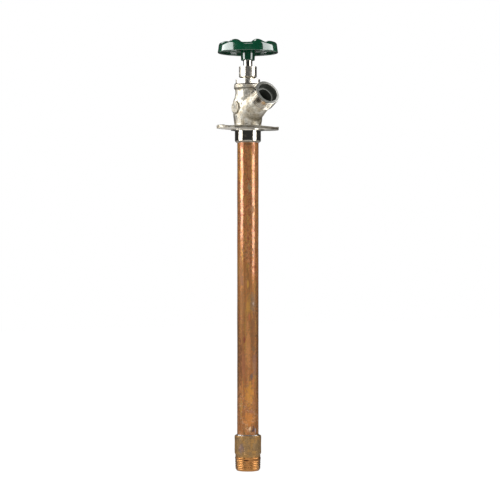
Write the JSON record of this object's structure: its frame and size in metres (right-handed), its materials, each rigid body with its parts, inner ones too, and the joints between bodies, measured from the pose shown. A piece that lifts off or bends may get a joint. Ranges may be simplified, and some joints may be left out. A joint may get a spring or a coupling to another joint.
{
  "type": "wall hydrant",
  "caption": "Frost-free wall hydrant: a handwheel on a screw stem, a flanged body with an angled hose outlet, and a copper casing with the valve seat at its far end.",
  "frame": {"origin": "on the stem axis, in the plane of the back of the screw ears, midway between the two wall screws; the wall is 1.2 mm behind it, at the round pad", "axes": "+Z along the stem, outdoors, towards the handwheel; X through the two wall screws; the hose outlet points to -Y and +Z, which is down and out once the hydrant is on a wall"},
  "size_m": [0.072, 0.0758, 0.4461],
  "materials": {
    "nickel_casting": "satin nickel plate on a rough brass casting, polished behind the flange",
    "nickel_bright": "bright nickel plate",
    "copper": "drawn copper with heat stains",
    "dull_brass": "turned brass dulled by the torch",
    "plain_brass": "turned brass",
    "solder": "smooth solder",
    "green_paint": "gloss paint",
    "steel": "stainless steel",
    "graphite": "pressed graphite",
    "black_rubber": "moulded rubber",
    "fibre": "pressed fibre",
    "white_nylon": "moulded nylon"
  },
  "bodies": {
    "hydrant": {"body_casting": "nickel_casting", "casing_tube": "copper", "body_solder_joint": "solder", "inlet_solder_joint": "solder", "inlet_adapter": "dull_brass", "bonnet": "nickel_bright", "bonnet_gasket": "fibre", "packing_washer": "plain_brass", "stem_packing": "graphite", "packing_gland": "plain_brass", "packing_nut": "nickel_bright"},
    "seat_washer_holder": {"washer_holder": "plain_brass", "retaining_ring": "steel", "seat_washer": "black_rubber", "washer_screw": "plain_brass"},
    "turning_stem": {"stem": "nickel_bright", "coupling_pin": "steel", "operating_rod": "plain_brass", "rod_guide": "white_nylon", "handle": "green_paint", "handle_screw": "steel"}
  },
  "joints": [
    {"name": "holder_slide", "type": "slide", "parent": "hydrant", "child": "seat_washer_holder", "axis": [0, 0, 1], "range_m": [0, 0.00635]},
    {"name": "stem_turn", "type": "hinge", "parent": "seat_washer_holder", "child": "turning_stem", "pos_m": [0, 0, 0], "axis": [0, 0, 1], "range_deg": [0, 900]}
  ],
  "couplings": [
    {"joint": "holder_slide", "follows": "stem_turn", "m_per_rad": 0.00040425}
  ]
}
